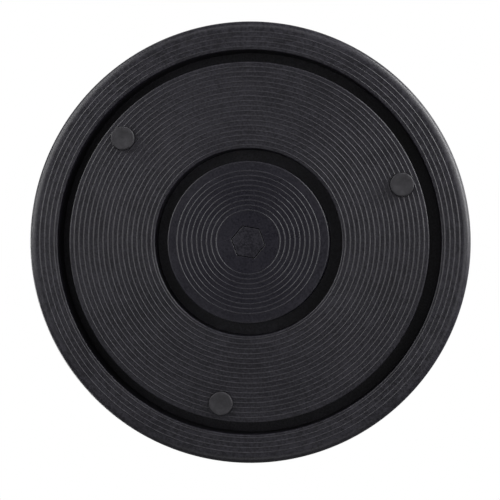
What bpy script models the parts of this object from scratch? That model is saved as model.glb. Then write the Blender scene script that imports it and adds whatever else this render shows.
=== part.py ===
# Pottery turntable (banding wheel): a wheel head that spins on a ball bearing over a footed base.
# Metres, +Z up, standing on its three rubber feet with the axis of rotation on the Z axis.

import math

import bmesh
import bpy
from mathutils import Matrix, Vector

MM = 0.001

# Overall sizes. The height of 26 mm follows from the base, the hub's stack and the plate.
WHEEL_DIAMETER = 225.0 * MM
UNDER_HUB_ROOM = 2.3 * MM      # between the base's plate and the cover screws
SEAT_GAP = 0.3 * MM            # kept between faces that touch on the real object

# Mouldings
SKIN = 2.6 * MM                # wall of the mouldings
PLATE_THICKNESS = 3.0 * MM     # top plate of the wheel head
RIB_HEIGHT = 0.4 * MM          # fine centring ribs, whose crests the flat faces stand for
EDGE_ROUNDING = 3.7 * MM       # outer edges of the wheel head and the rim ring
EDGE_BREAK = 0.5 * MM          # small chamfer on the edges of the lands
ARC_PIECES = 4                 # straight pieces in each rounded edge

# Rim ring
RIM_WIDTH = 14.7 * MM
RIM_LIFT = 0.5 * MM            # underside of the rim above the base's underside
TONGUE_THICKNESS = 2.0 * MM
TONGUE_LAP = 4.0 * MM          # tongue height above and below the split line

# Base
RUNNING_GAP = 6.15 * MM        # open groove between the base and the rim ring
INNER_LAND_RADIUS = 41.25 * MM
CHANNEL_WIDTH = 6.45 * MM
CHANNEL_DEPTH = 15.0 * MM
SKIRT_HEIGHT = 14.0 * MM
BOSS_WALL = 3.0 * MM           # plastic around the corners of the hexagonal socket

# Stiffening ribs inside the mouldings
STIFFENERS = 12
STIFFENER_THICKNESS = 2.0 * MM
STIFFENER_BITE = 1.0 * MM      # how far a stiffener runs into the wall that it joins
BASE_STIFFENER_HEIGHT = 7.4 * MM
STIFFENER_CLEARANCE = 1.0 * MM # between wheel head stiffeners and the base's rail
HEAD_CLEARANCE = 0.9 * MM      # between the base's inner stiffeners and the cover screws

# Rubber feet
FOOT_COUNT = 3
FOOT_DIAMETER = 12.0 * MM
FOOT_HEIGHT = 2.0 * MM         # exposed height
FOOT_RECESS = 0.8 * MM
FOOT_ROUNDING = 0.6 * MM
FOOT_EDGE_DISTANCE = 8.55 * MM # from the base's edge to a foot's centre
FIRST_FOOT_ANGLE = math.radians(90)

# Spindle
HEX_ACROSS_FLATS = 15.0 * MM
HEX_CHAMFER = 0.4 * MM
FLANGE_THICKNESS = 1.5 * MM
FLANGE_OVERHANG = 1.1 * MM     # flange past the hexagon's corners
COLLAR_HEIGHT = 0.8 * MM

# Ball bearing, 12 x 28 x 8 mm, shielded. Its width follows from the balls, cage and shields.
BEARING_BORE = 12.0 * MM
BEARING_DIAMETER = 28.0 * MM
BALL_DIAMETER = 4.762 * MM
BALL_COUNT = 8
RACE_HALF_OPENING = 1.55 * MM  # from the balls' circle to each ring's shoulder
SHIELD_THICKNESS = 0.35 * MM
SHIELD_INSET = 0.219 * MM      # shield face below the bearing's face
SHIELD_SEAT = 0.7 * MM         # depth of the shield's step into the outer ring
CAGE_HALF_WIDTH = 1.0 * MM
CAGE_FLOOR = 0.45 * MM         # cage thickness under each ball
CAGE_PRONG_HEIGHT = 0.9 * MM   # cage above the balls' centres

# Bearing cover and its screws
COVER_THICKNESS = 2.0 * MM
COVER_LIP = 1.8 * MM           # cover under the outer ring
HUB_WALL = 6.2 * MM
COVER_SCREWS = 3
COVER_SCREW_DIAMETER = 2.6 * MM
COVER_SCREW_LENGTH = 7.0 * MM
COVER_HEAD_DIAMETER = 5.0 * MM
COVER_HEAD_HEIGHT = 1.6 * MM
SCREW_TIP_ROOM = 1.6 * MM      # hole past the screw's tip

# Screw and washers that clamp the inner ring
CLAMP_SCREW_DIAMETER = 5.0 * MM
CLAMP_SCREW_LENGTH = 12.0 * MM
CLAMP_HEAD_DIAMETER = 9.0 * MM
CLAMP_HEAD_HEIGHT = 1.8 * MM
WASHER_THICKNESS = 1.2 * MM
WASHER_DIAMETER = 16.0 * MM
SPRING_WASHER_DIAMETER = 9.0 * MM
SPRING_WASHER_SLIT = 0.8 * MM
SLOT_SHARE = 0.5               # depth of a cross recess as a share of its head

# Centre cap
CAP_DIAMETER = 28.0 * MM
CAP_THICKNESS = 1.1 * MM
CAP_SKIRT_HEIGHT = 1.5 * MM
CAP_SKIRT_WALL = 1.3 * MM

# Facets
DISC_STEPS = 64
HUB_STEPS = 32
SCREW_STEPS = 20
CUTTER_OVERLAP = 1.0 * MM      # how far a cutter runs past the face that it cuts

# Radii that follow from the sizes
wheel_radius = WHEEL_DIAMETER / 2
rim_inner_radius = wheel_radius - RIM_WIDTH
base_radius = rim_inner_radius - RUNNING_GAP
channel_outer_radius = INNER_LAND_RADIUS + CHANNEL_WIDTH
foot_circle_radius = base_radius - FOOT_EDGE_DISTANCE
bearing_radius = BEARING_DIAMETER / 2
ball_radius = BALL_DIAMETER / 2
ball_circle_radius = (BEARING_BORE + BEARING_DIAMETER) / 4
race_radius = ball_radius + SEAT_GAP
inner_shoulder_radius = ball_circle_radius - RACE_HALF_OPENING
outer_shoulder_radius = ball_circle_radius + RACE_HALF_OPENING
hub_seat_radius = bearing_radius + SEAT_GAP
hub_radius = hub_seat_radius + HUB_WALL
cover_screw_circle = (hub_seat_radius + hub_radius) / 2
cover_inner_radius = bearing_radius - COVER_LIP
hex_corner_radius = HEX_ACROSS_FLATS / 2 / math.cos(math.pi / 6)
socket_corner_radius = (HEX_ACROSS_FLATS / 2 + SEAT_GAP) / math.cos(math.pi / 6)
flange_radius = hex_corner_radius + FLANGE_OVERHANG
boss_radius = socket_corner_radius + BOSS_WALL

# Heights that follow from the sizes, from the table up
base_face = FOOT_HEIGHT
base_land = base_face + RIB_HEIGHT
base_skin_top = base_face + SKIN
channel_roof = base_face + CHANNEL_DEPTH
base_rail_top = channel_roof + SKIN
rim_face = base_face + RIM_LIFT

# Heights inside the bearing, from its middle
cage_floor_height = -race_radius - CAGE_FLOOR
shield_inner_face = race_radius + CAGE_FLOOR + SEAT_GAP
shield_outer_face = shield_inner_face + SHIELD_THICKNESS
half_bearing = shield_outer_face + SHIELD_INSET

# Heights of the hub's stack, from the base's plate up to the top of the wheel head
cover_head_bottom = base_skin_top + UNDER_HUB_ROOM
cover_head_top = cover_head_bottom + COVER_HEAD_HEIGHT
cover_bottom = cover_head_top + SEAT_GAP
cover_top = cover_bottom + COVER_THICKNESS
bearing_bottom = cover_top + SEAT_GAP
bearing_middle = bearing_bottom + half_bearing
bearing_top = bearing_middle + half_bearing
flat_washer_bottom = bearing_top + SEAT_GAP
spring_washer_bottom = flat_washer_bottom + WASHER_THICKNESS + SEAT_GAP
clamp_head_bottom = spring_washer_bottom + WASHER_THICKNESS + SEAT_GAP
cap_ledge = clamp_head_bottom + CLAMP_HEAD_HEIGHT
cap_bottom = cap_ledge + SEAT_GAP
top_land = cap_bottom + CAP_THICKNESS
top_face = top_land + RIB_HEIGHT
plate_underside = top_face - PLATE_THICKNESS
split_height = (rim_face + top_face) / 2

# Heights of the spindle, from the bearing down
collar_top = bearing_bottom - SEAT_GAP
flange_top = collar_top - COLLAR_HEIGHT
flange_bottom = flange_top - FLANGE_THICKNESS
boss_top = flange_bottom - SEAT_GAP


def clear_scene():
    for item in list(bpy.data.objects):
        bpy.data.objects.remove(item, do_unlink=True)


def make_collection(name):
    collection = bpy.data.collections.new(name)
    bpy.context.scene.collection.children.link(collection)
    return collection


def make_material(name, colour, roughness, metallic=0.0):
    material = bpy.data.materials.new(name)
    material.use_nodes = True
    shader = material.node_tree.nodes["Principled BSDF"]
    shader.inputs["Base Color"].default_value = (*colour, 1.0)
    shader.inputs["Roughness"].default_value = roughness
    shader.inputs["Metallic"].default_value = metallic
    return material


def make_axis(name, height):
    axis = bpy.data.objects.new(name, None)
    axis.empty_display_size = 20 * MM
    axis.location = (0, 0, height)
    parts.objects.link(axis)
    return axis


def arc_points(centre_radius, centre_height, radius, start, end):
    # points of an arc from one angle to another, in degrees, 0 pointing outwards and 90 up
    points = []
    for step in range(ARC_PIECES + 1):
        angle = math.radians(start + (end - start) * step / ARC_PIECES)
        points.append((centre_radius + radius * math.cos(angle), centre_height + radius * math.sin(angle)))
    return points


def new_object(name, mesh, collection):
    item = bpy.data.objects.new(name, mesh)
    collection.objects.link(item)
    return item


def turned(name, profile, steps, collection):
    # a profile of (radius, height) points, running down its outer side, turned about Z
    mesh = bpy.data.meshes.new(name)
    vertices = [(radius, 0.0, height) for radius, height in profile]
    edges = [(index, index + 1) for index in range(len(vertices) - 1)]
    if profile[0][0] > 0:
        edges.append((len(vertices) - 1, 0))
    mesh.from_pydata(vertices, edges, [])
    item = new_object(name, mesh, collection)
    screw = item.modifiers.new("Turn", "SCREW")
    screw.steps = steps
    screw.render_steps = steps
    screw.use_merge_vertices = True
    screw.merge_threshold = 0.00001
    return item


def rod(name, radius, low, high, steps):
    return turned(name, [(0, high), (radius, high), (radius, low), (0, low)], steps, cutters)


def box_group(name, boxes):
    # boxes: pairs of a size and a matrix that puts the box in place
    shape = bmesh.new()
    for size, place in boxes:
        stretch = Matrix.Diagonal((*size, 1.0))
        bmesh.ops.create_cube(shape, size=1.0, matrix=place @ stretch)
    mesh = bpy.data.meshes.new(name)
    shape.to_mesh(mesh)
    shape.free()
    return new_object(name, mesh, cutters)


def combine(item, tool, operation):
    tool.hide_render = True
    tool.display_type = "WIRE"
    boolean = item.modifiers.new(tool.name, "BOOLEAN")
    boolean.operation = operation
    boolean.object = tool


def settle(item, material, parent, sharp_angle=30):
    # turns the modifiers' result into the piece's own mesh, shaded smooth up to the sharp edges
    bpy.context.view_layer.update()
    evaluated = item.evaluated_get(bpy.context.evaluated_depsgraph_get())
    mesh = bpy.data.meshes.new_from_object(evaluated)
    item.modifiers.clear()
    item.data = mesh
    mesh.name = item.name
    mesh.materials.clear()
    mesh.materials.append(material)
    mesh.shade_smooth()
    mesh.set_sharp_from_angle(angle=math.radians(sharp_angle))
    item.parent = parent
    item.matrix_parent_inverse = parent.matrix_world.inverted()
    return item


def around(count, radius, first_angle=0.0):
    for index in range(count):
        angle = first_angle + 2 * math.pi * index / count
        yield index + 1, angle, Vector((radius * math.cos(angle), radius * math.sin(angle), 0))


def stiffener_boxes(inner, outer, low, high):
    # radial walls between two radii and two heights
    size = (outer - inner, STIFFENER_THICKNESS, high - low)
    middle = Vector(((inner + outer) / 2, 0, (low + high) / 2))
    half_step = math.pi / STIFFENERS
    for _, angle, _ in around(STIFFENERS, 0, half_step):
        yield size, Matrix.Rotation(angle, 4, "Z") @ Matrix.Translation(middle)


def cross_recess(name, head_diameter, head_height, face, upwards):
    # a cross cut into a screw's head, whose outer face is at the given height
    depth = head_height * SLOT_SHARE
    side = 1 if upwards else -1
    height = depth + CUTTER_OVERLAP
    middle = face + side * (CUTTER_OVERLAP - depth) / 2
    long_side = head_diameter * 0.6
    short_side = head_diameter * 0.15
    place = Matrix.Translation((0, 0, middle))
    along = box_group(name + "_along", [((long_side, short_side, height), place)])
    across = box_group(name + "_across", [((short_side, long_side, height), place)])
    return along, across


def make_base_disc():
    inner_wall = INNER_LAND_RADIUS - SKIN
    outer_wall = channel_outer_radius + SKIN
    skirt_wall = base_radius - SKIN
    skirt_top = base_face + SKIRT_HEIGHT
    profile = [
        (0, boss_top),
        (boss_radius, boss_top),
        (boss_radius, base_skin_top),
        (inner_wall, base_skin_top),
        (inner_wall, base_rail_top),
        (outer_wall, base_rail_top),
        (outer_wall, base_skin_top),
        (skirt_wall, base_skin_top),
        (skirt_wall, skirt_top),
        (base_radius, skirt_top),
        (base_radius, base_face + EDGE_BREAK),
        (base_radius - EDGE_BREAK, base_face),
        (channel_outer_radius + EDGE_BREAK, base_face),
        (channel_outer_radius, base_face + EDGE_BREAK),
        (channel_outer_radius, channel_roof),
        (INNER_LAND_RADIUS, channel_roof),
        (INNER_LAND_RADIUS, base_face + EDGE_BREAK),
        (INNER_LAND_RADIUS - EDGE_BREAK, base_face),
        (0, base_face),
    ]
    base = turned("base_disc", profile, DISC_STEPS, parts)
    inside = base_face + SKIN / 2
    inner_ribs = stiffener_boxes(
        boss_radius - STIFFENER_BITE, inner_wall + STIFFENER_BITE, inside, cover_head_bottom - HEAD_CLEARANCE
    )
    outer_ribs = stiffener_boxes(
        outer_wall - STIFFENER_BITE, skirt_wall + STIFFENER_BITE, inside, base_skin_top + BASE_STIFFENER_HEIGHT
    )
    combine(base, box_group("base_stiffeners", [*inner_ribs, *outer_ribs]), "UNION")
    socket = rod(
        "hexagonal_socket", socket_corner_radius, base_face - CUTTER_OVERLAP, boss_top + CUTTER_OVERLAP, 6
    )
    combine(base, socket, "DIFFERENCE")
    for number, _, place in around(FOOT_COUNT, foot_circle_radius, FIRST_FOOT_ANGLE):
        recess = rod(
            f"foot_recess_{number}",
            FOOT_DIAMETER / 2 + SEAT_GAP,
            base_face - CUTTER_OVERLAP,
            base_face + FOOT_RECESS,
            HUB_STEPS,
        )
        recess.location = place
        combine(base, recess, "DIFFERENCE")
    settle(base, black_plastic, base_frame)


def make_feet():
    radius = FOOT_DIAMETER / 2
    top = FOOT_HEIGHT + FOOT_RECESS - SEAT_GAP
    corner = arc_points(radius - FOOT_ROUNDING, FOOT_ROUNDING, FOOT_ROUNDING, 0, -90)
    profile = [(0, top), (radius, top), *corner, (0, 0)]
    for number, _, place in around(FOOT_COUNT, foot_circle_radius, FIRST_FOOT_ANGLE):
        foot = turned(f"foot_{number}", profile, HUB_STEPS, parts)
        foot.location = place
        settle(foot, rubber, base_frame)


def make_spindle():
    collar_radius = inner_shoulder_radius - SEAT_GAP
    journal_radius = BEARING_BORE / 2 - SEAT_GAP
    journal_top = bearing_top - SEAT_GAP
    hole_bottom = clamp_head_bottom - CLAMP_SCREW_LENGTH - SCREW_TIP_ROOM
    hole_radius = CLAMP_SCREW_DIAMETER / 2 + SEAT_GAP
    spindle = turned(
        "spindle",
        [
            (0, hole_bottom),
            (hole_radius, hole_bottom),
            (hole_radius, journal_top),
            (journal_radius, journal_top),
            (journal_radius, collar_top),
            (collar_radius, collar_top),
            (collar_radius, flange_top),
            (flange_radius, flange_top),
            (flange_radius, flange_bottom),
            (0, flange_bottom),
        ],
        HUB_STEPS,
        parts,
    )
    hex_foot = turned(
        "hexagonal_foot",
        [
            (0, flange_bottom + FLANGE_THICKNESS / 2),
            (hex_corner_radius, flange_bottom + FLANGE_THICKNESS / 2),
            (hex_corner_radius, base_land + HEX_CHAMFER),
            (hex_corner_radius - HEX_CHAMFER, base_land),
            (0, base_land),
        ],
        6,
        cutters,
    )
    combine(spindle, hex_foot, "UNION")
    hole = rod("clamp_screw_hole", hole_radius, hole_bottom, journal_top + CUTTER_OVERLAP, SCREW_STEPS)
    combine(spindle, hole, "DIFFERENCE")
    settle(spindle, nylon, base_frame)


def race(start, end, side):
    # a ball groove's arc in the outer ring (side 1) or the inner ring (side -1)
    arc = arc_points(0, 0, race_radius, start, end)
    return [(ball_circle_radius + side * radius, height) for radius, height in arc]


def make_bearing_rings():
    half = half_bearing
    opening = math.degrees(math.acos(RACE_HALF_OPENING / race_radius))
    step = shield_inner_face - SEAT_GAP
    step_radius = outer_shoulder_radius + SHIELD_SEAT
    inner = turned(
        "bearing_inner_ring",
        [
            (BEARING_BORE / 2, half),
            (inner_shoulder_radius, half),
            *race(opening, -opening, -1),
            (inner_shoulder_radius, -half),
            (BEARING_BORE / 2, -half),
        ],
        HUB_STEPS,
        parts,
    )
    outer = turned(
        "bearing_outer_ring",
        [
            (step_radius, half),
            (bearing_radius, half),
            (bearing_radius, -half),
            (step_radius, -half),
            (step_radius, -step),
            (outer_shoulder_radius, -step),
            *race(-opening, opening, 1),
            (outer_shoulder_radius, step),
            (step_radius, step),
        ],
        HUB_STEPS,
        parts,
    )
    for ring, frame in ((inner, base_frame), (outer, wheel_axis)):
        ring.location.z = bearing_middle
        settle(ring, bearing_steel, frame)


def make_shields():
    inner = inner_shoulder_radius + SEAT_GAP
    outer = outer_shoulder_radius + SHIELD_SEAT - SEAT_GAP
    profile = [(inner, SHIELD_THICKNESS), (outer, SHIELD_THICKNESS), (outer, 0), (inner, 0)]
    low = bearing_middle - shield_outer_face
    high = bearing_middle + shield_inner_face
    for name, height in (("bearing_shield_lower", low), ("bearing_shield_upper", high)):
        shield = turned(name, profile, HUB_STEPS, parts)
        shield.location.z = height
        settle(shield, bearing_steel, wheel_axis)


def make_ball_set():
    inner = ball_circle_radius - CAGE_HALF_WIDTH
    outer = ball_circle_radius + CAGE_HALF_WIDTH
    profile = [
        (inner, CAGE_PRONG_HEIGHT),
        (outer, CAGE_PRONG_HEIGHT),
        (outer, cage_floor_height),
        (inner, cage_floor_height),
    ]
    cage = turned("ball_cage", profile, HUB_STEPS, parts)
    cage.location.z = bearing_middle
    for number, _, place in around(BALL_COUNT, ball_circle_radius):
        centre = place + Vector((0, 0, bearing_middle))
        pocket = make_sphere(f"ball_pocket_{number}", race_radius, cutters)
        pocket.location = centre
        combine(cage, pocket, "DIFFERENCE")
        ball = make_sphere(f"ball_{number}", ball_radius, parts)
        ball.location = centre
        settle(ball, bearing_steel, ball_axis, sharp_angle=180)
    settle(cage, cage_nylon, ball_axis)


def make_sphere(name, radius, collection):
    shape = bmesh.new()
    bmesh.ops.create_uvsphere(shape, u_segments=12, v_segments=8, radius=radius)
    mesh = bpy.data.meshes.new(name)
    shape.to_mesh(mesh)
    shape.free()
    return new_object(name, mesh, collection)


def make_clamp():
    hole_radius = CLAMP_SCREW_DIAMETER / 2 + SEAT_GAP
    washer_radius = WASHER_DIAMETER / 2
    profile = [
        (hole_radius, WASHER_THICKNESS),
        (washer_radius, WASHER_THICKNESS),
        (washer_radius, 0),
        (hole_radius, 0),
    ]
    washer = turned("flat_washer", profile, HUB_STEPS, parts)
    washer.location.z = flat_washer_bottom
    settle(washer, zinc, base_frame)

    outer = SPRING_WASHER_DIAMETER / 2
    profile = [(hole_radius, WASHER_THICKNESS), (outer, WASHER_THICKNESS), (outer, 0), (hole_radius, 0)]
    spring = turned("spring_washer", profile, SCREW_STEPS, parts)
    spring.location.z = spring_washer_bottom
    tall = WASHER_THICKNESS + 2 * CUTTER_OVERLAP
    place = Matrix.Translation((outer, 0, spring_washer_bottom + WASHER_THICKNESS / 2))
    lean = Matrix.Rotation(math.radians(25), 4, "X")
    slit = box_group("spring_washer_slit", [((2 * outer, SPRING_WASHER_SLIT, tall), place @ lean)])
    combine(spring, slit, "DIFFERENCE")
    settle(spring, zinc, base_frame)
    make_screw(
        "clamp_screw", CLAMP_SCREW_DIAMETER, CLAMP_SCREW_LENGTH, CLAMP_HEAD_DIAMETER, CLAMP_HEAD_HEIGHT,
        Vector((0, 0, clamp_head_bottom)), True, base_frame,
    )


def make_screw(name, diameter, length, head_diameter, head_height, place, head_up, parent):
    # a pan-head screw; place is under its head, on its axis
    head = head_diameter / 2
    shank = diameter / 2
    soft = head_height / 3
    profile = [
        (0, head_height),
        (head - soft, head_height),
        (head, head_height - soft),
        (head, 0),
        (shank, 0),
        (shank, soft - length),
        (shank - soft, -length),
        (0, -length),
    ]
    if not head_up:
        profile = [(radius, -height) for radius, height in reversed(profile)]
    screw = turned(name, profile, SCREW_STEPS, parts)
    screw.location = place
    face = head_height if head_up else -head_height
    for tool in cross_recess(name + "_recess", head_diameter, head_height, face, head_up):
        tool.location = place
        combine(screw, tool, "DIFFERENCE")
    settle(screw, zinc, parent)


def make_wheel_head():
    cap_recess_radius = CAP_DIAMETER / 2 + SEAT_GAP
    inner_wall = wheel_radius - SKIN
    shoulder = bearing_top + SEAT_GAP
    wall_bottom = split_height + SEAT_GAP / 2
    edge = arc_points(wheel_radius - EDGE_ROUNDING, top_face - EDGE_ROUNDING, EDGE_ROUNDING, 90, 0)
    profile = [
        (cap_recess_radius, top_face),
        *edge,
        (wheel_radius, wall_bottom),
        (inner_wall, wall_bottom),
        (inner_wall, plate_underside),
        (hub_radius, plate_underside),
        (hub_radius, bearing_bottom),
        (hub_seat_radius, bearing_bottom),
        (hub_seat_radius, shoulder),
        (outer_shoulder_radius, shoulder),
        (outer_shoulder_radius, cap_ledge),
        (cap_recess_radius, cap_ledge),
    ]
    wheel = turned("wheel_head", profile, DISC_STEPS, parts)
    ribs = stiffener_boxes(
        hub_radius - STIFFENER_BITE,
        base_radius - FOOT_EDGE_DISTANCE,
        base_rail_top + STIFFENER_CLEARANCE,
        plate_underside + STIFFENER_BITE,
    )
    combine(wheel, box_group("wheel_stiffeners", ribs), "UNION")
    hole_top = cover_head_top + COVER_SCREW_LENGTH + SCREW_TIP_ROOM
    for number, _, place in around(COVER_SCREWS, cover_screw_circle):
        hole = rod(
            f"hub_screw_hole_{number}",
            COVER_SCREW_DIAMETER / 2 + SEAT_GAP,
            bearing_bottom - CUTTER_OVERLAP,
            hole_top,
            SCREW_STEPS,
        )
        hole.location = place
        combine(wheel, hole, "DIFFERENCE")
    settle(wheel, black_plastic, wheel_axis)


def make_rim_ring():
    outer_wall = wheel_radius - SKIN
    inner_wall = rim_inner_radius + SKIN
    skin_top = rim_face + SKIN
    split = split_height - SEAT_GAP / 2
    tongue_outer = outer_wall - SEAT_GAP
    tongue_inner = tongue_outer - TONGUE_THICKNESS
    wall_top = plate_underside - SEAT_GAP
    edge = arc_points(wheel_radius - EDGE_ROUNDING, rim_face + EDGE_ROUNDING, EDGE_ROUNDING, 0, -90)
    profile = [
        (tongue_inner, split_height + TONGUE_LAP),
        (tongue_outer, split_height + TONGUE_LAP),
        (tongue_outer, split),
        (wheel_radius, split),
        *edge,
        (rim_inner_radius + EDGE_BREAK, rim_face),
        (rim_inner_radius, rim_face + EDGE_BREAK),
        (rim_inner_radius, wall_top),
        (inner_wall, wall_top),
        (inner_wall, skin_top),
        (outer_wall, skin_top),
        (outer_wall, split_height - TONGUE_LAP),
        (tongue_inner, split_height - TONGUE_LAP),
    ]
    rim = turned("rim_ring", profile, DISC_STEPS, parts)
    settle(rim, black_plastic, wheel_axis)


def make_bearing_cover():
    profile = [
        (cover_inner_radius, cover_top),
        (hub_radius, cover_top),
        (hub_radius, cover_bottom),
        (cover_inner_radius, cover_bottom),
    ]
    cover = turned("bearing_cover", profile, HUB_STEPS, parts)
    for number, _, place in around(COVER_SCREWS, cover_screw_circle):
        hole = rod(
            f"cover_screw_hole_{number}",
            COVER_SCREW_DIAMETER / 2 + SEAT_GAP,
            cover_bottom - CUTTER_OVERLAP,
            cover_top + CUTTER_OVERLAP,
            SCREW_STEPS,
        )
        hole.location = place
        combine(cover, hole, "DIFFERENCE")
        make_screw(
            f"cover_screw_{number}", COVER_SCREW_DIAMETER, COVER_SCREW_LENGTH, COVER_HEAD_DIAMETER,
            COVER_HEAD_HEIGHT, place + Vector((0, 0, cover_head_top)), False, wheel_axis,
        )
    settle(cover, zinc, wheel_axis)


def make_centre_cap():
    radius = CAP_DIAMETER / 2
    skirt_outer = outer_shoulder_radius - SEAT_GAP
    skirt_inner = skirt_outer - CAP_SKIRT_WALL
    skirt_bottom = cap_bottom - CAP_SKIRT_HEIGHT
    profile = [
        (0, top_land),
        (radius - EDGE_BREAK, top_land),
        (radius, top_land - EDGE_BREAK),
        (radius, cap_bottom),
        (skirt_outer, cap_bottom),
        (skirt_outer, skirt_bottom),
        (skirt_inner, skirt_bottom),
        (skirt_inner, cap_bottom),
        (0, cap_bottom),
    ]
    cap = turned("centre_cap", profile, HUB_STEPS, parts)
    settle(cap, black_plastic, wheel_axis)


clear_scene()
parts = make_collection("pottery_wheel")
cutters = make_collection("cutters")

black_plastic = make_material("black_plastic", (0.026, 0.026, 0.029), 0.45)
rubber = make_material("black_rubber", (0.03, 0.03, 0.032), 0.7)
nylon = make_material("spindle_nylon", (0.024, 0.024, 0.027), 0.5)
cage_nylon = make_material("cage_nylon", (0.62, 0.58, 0.48), 0.5)
bearing_steel = make_material("bearing_steel", (0.62, 0.62, 0.64), 0.22, 1.0)
zinc = make_material("zinc_plated_steel", (0.66, 0.67, 0.7), 0.35, 1.0)

base_frame = make_axis("base_frame", 0)
wheel_axis = make_axis("wheel_axis", bearing_middle)
ball_axis = make_axis("ball_set_axis", bearing_middle)
bpy.context.view_layer.update()

make_base_disc()
make_feet()
make_spindle()
make_bearing_rings()
make_shields()
make_ball_set()
make_clamp()
make_wheel_head()
make_rim_ring()
make_bearing_cover()
make_centre_cap()
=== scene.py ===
import math

import bmesh
import bpy
from mathutils import Matrix, Vector


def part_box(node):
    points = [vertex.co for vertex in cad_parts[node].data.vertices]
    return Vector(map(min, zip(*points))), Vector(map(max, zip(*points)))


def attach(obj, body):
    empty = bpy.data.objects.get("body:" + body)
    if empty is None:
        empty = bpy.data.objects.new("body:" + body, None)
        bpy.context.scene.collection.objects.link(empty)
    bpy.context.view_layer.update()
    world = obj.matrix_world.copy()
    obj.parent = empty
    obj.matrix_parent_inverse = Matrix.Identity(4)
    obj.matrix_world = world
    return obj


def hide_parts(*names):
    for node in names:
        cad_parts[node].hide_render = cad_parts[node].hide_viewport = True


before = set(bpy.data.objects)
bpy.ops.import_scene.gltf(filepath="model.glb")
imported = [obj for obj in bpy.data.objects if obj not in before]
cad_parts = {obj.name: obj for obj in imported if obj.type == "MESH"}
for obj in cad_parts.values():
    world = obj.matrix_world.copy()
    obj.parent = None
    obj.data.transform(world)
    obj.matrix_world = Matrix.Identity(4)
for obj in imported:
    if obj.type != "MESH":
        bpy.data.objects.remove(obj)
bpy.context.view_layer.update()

mm = 0.001
print("frame loaded:", len(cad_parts), "nodes")


def socketOf(sockets, key):
    # by identifier first, because some nodes give several sockets the same name
    for socket in sockets:
        if socket.identifier == key:
            return socket
    return sockets[key]


class Wire:
    # one output socket in a node tree; sums on wires add the tree's Math nodes
    def __init__(self, tree, socket=None):
        self.tree = tree
        self.socket = socket

    def node(self, kind, settings=None, values=None, output=0):
        made = self.tree.nodes.new(kind)
        for name, value in (settings or {}).items():
            setattr(made, name, value)
        for key, value in (values or {}).items():
            self.plug(socketOf(made.inputs, key), value)
        return Wire(self.tree, socketOf(made.outputs, output) if made.outputs else None)

    def plug(self, socket, value):
        if isinstance(value, Wire):
            self.tree.links.new(value.socket, socket)
        elif isinstance(value, list):
            # several wires into one join, which counts its links from the last made
            for wire in reversed(value):
                self.tree.links.new(wire.socket, socket)
        else:
            socket.default_value = value

    def calc(self, operation, *values):
        return self.node("ShaderNodeMath", {"operation": operation}, dict(enumerate(values)))

    def __add__(self, other):
        return self.calc("ADD", self, other)

    def __radd__(self, other):
        return self.calc("ADD", other, self)

    def __sub__(self, other):
        return self.calc("SUBTRACT", self, other)

    def __rsub__(self, other):
        return self.calc("SUBTRACT", other, self)

    def __mul__(self, other):
        return self.calc("MULTIPLY", self, other)

    def __rmul__(self, other):
        return self.calc("MULTIPLY", other, self)

    def __truediv__(self, other):
        return self.calc("DIVIDE", self, other)

    def __rtruediv__(self, other):
        return self.calc("DIVIDE", other, self)

    def __mod__(self, other):
        return self.calc("MODULO", self, other)


# Shader building blocks

def startMaterial(name):
    material = bpy.data.materials.new(name)
    material.use_nodes = True
    material.node_tree.nodes.clear()
    pen = Wire(material.node_tree)
    place = pen.node("ShaderNodeTexCoord", output="Object")
    return material, pen, place


def finishMaterial(pen, shader):
    pen.node("ShaderNodeOutputMaterial", {}, {"Surface": shader})


def noise(place, size, detail=2.0, roughness=0.5):
    # size of the blotches in millimetres
    values = {"Vector": place, "Scale": 1 / (size * mm), "Detail": detail, "Roughness": roughness}
    return place.node("ShaderNodeTexNoise", {}, values, "Fac")


def stretched(place, scale, turn=0):
    values = {"Vector": place, "Scale": scale, "Rotation": (0, 0, math.radians(turn))}
    return place.node("ShaderNodeMapping", {}, values, "Vector")


def ramped(wire, low, high):
    # 0 below low, 1 above high
    values = {"Value": wire, "From Min": low, "From Max": high}
    return wire.node("ShaderNodeMapRange", {"interpolation_type": "SMOOTHSTEP"}, values, "Result")


def blended(factor, first, second):
    # each colour is a wire or three numbers
    colours = [item if isinstance(item, Wire) else (*item, 1.0) for item in (first, second)]
    values = {"Factor_Float": factor, "A_Color": colours[0], "B_Color": colours[1]}
    return factor.node("ShaderNodeMix", {"data_type": "RGBA"}, values, "Result_Color")


def bumped(height, depth):
    # depth in millimetres where the height is 1
    values = {"Height": height, "Distance": depth * mm, "Strength": 1.0}
    return height.node("ShaderNodeBump", {}, values)


def swung(pattern, swing):
    # the pattern either side of its middle value
    return (pattern - 0.5) * swing


def axisOf(place, axis):
    return place.node("ShaderNodeSeparateXYZ", {}, {"Vector": place}, axis)


def radiusOf(place):
    # distance from the turntable's axis
    flat = place.node("ShaderNodeVectorMath", {"operation": "MULTIPLY"}, {0: place, 1: (1, 1, 0)})
    return flat.node("ShaderNodeVectorMath", {"operation": "LENGTH"}, {0: flat}, "Value")


def hairlines(place, look):
    # fine scuffs that run three ways, each broken up by its own patches
    lines = 0.0
    step, aside = look["scuffShift"]
    for number, turn in enumerate(look["scuffTurns"]):
        shift = (step * number, aside, 0)
        shifted = place.node("ShaderNodeVectorMath", {"operation": "ADD"}, {0: place, 1: shift})
        line = noise(stretched(shifted, (1, look["scuffSquash"], 1), turn), look["scuffWidth"], detail=1.0)
        patch = noise(shifted, look["scuffPatch"], detail=2.0)
        lines = lines + ramped(line, *look["scuffEdge"]) * ramped(patch, *look["scuffPatchEdge"])
    return lines


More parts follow.
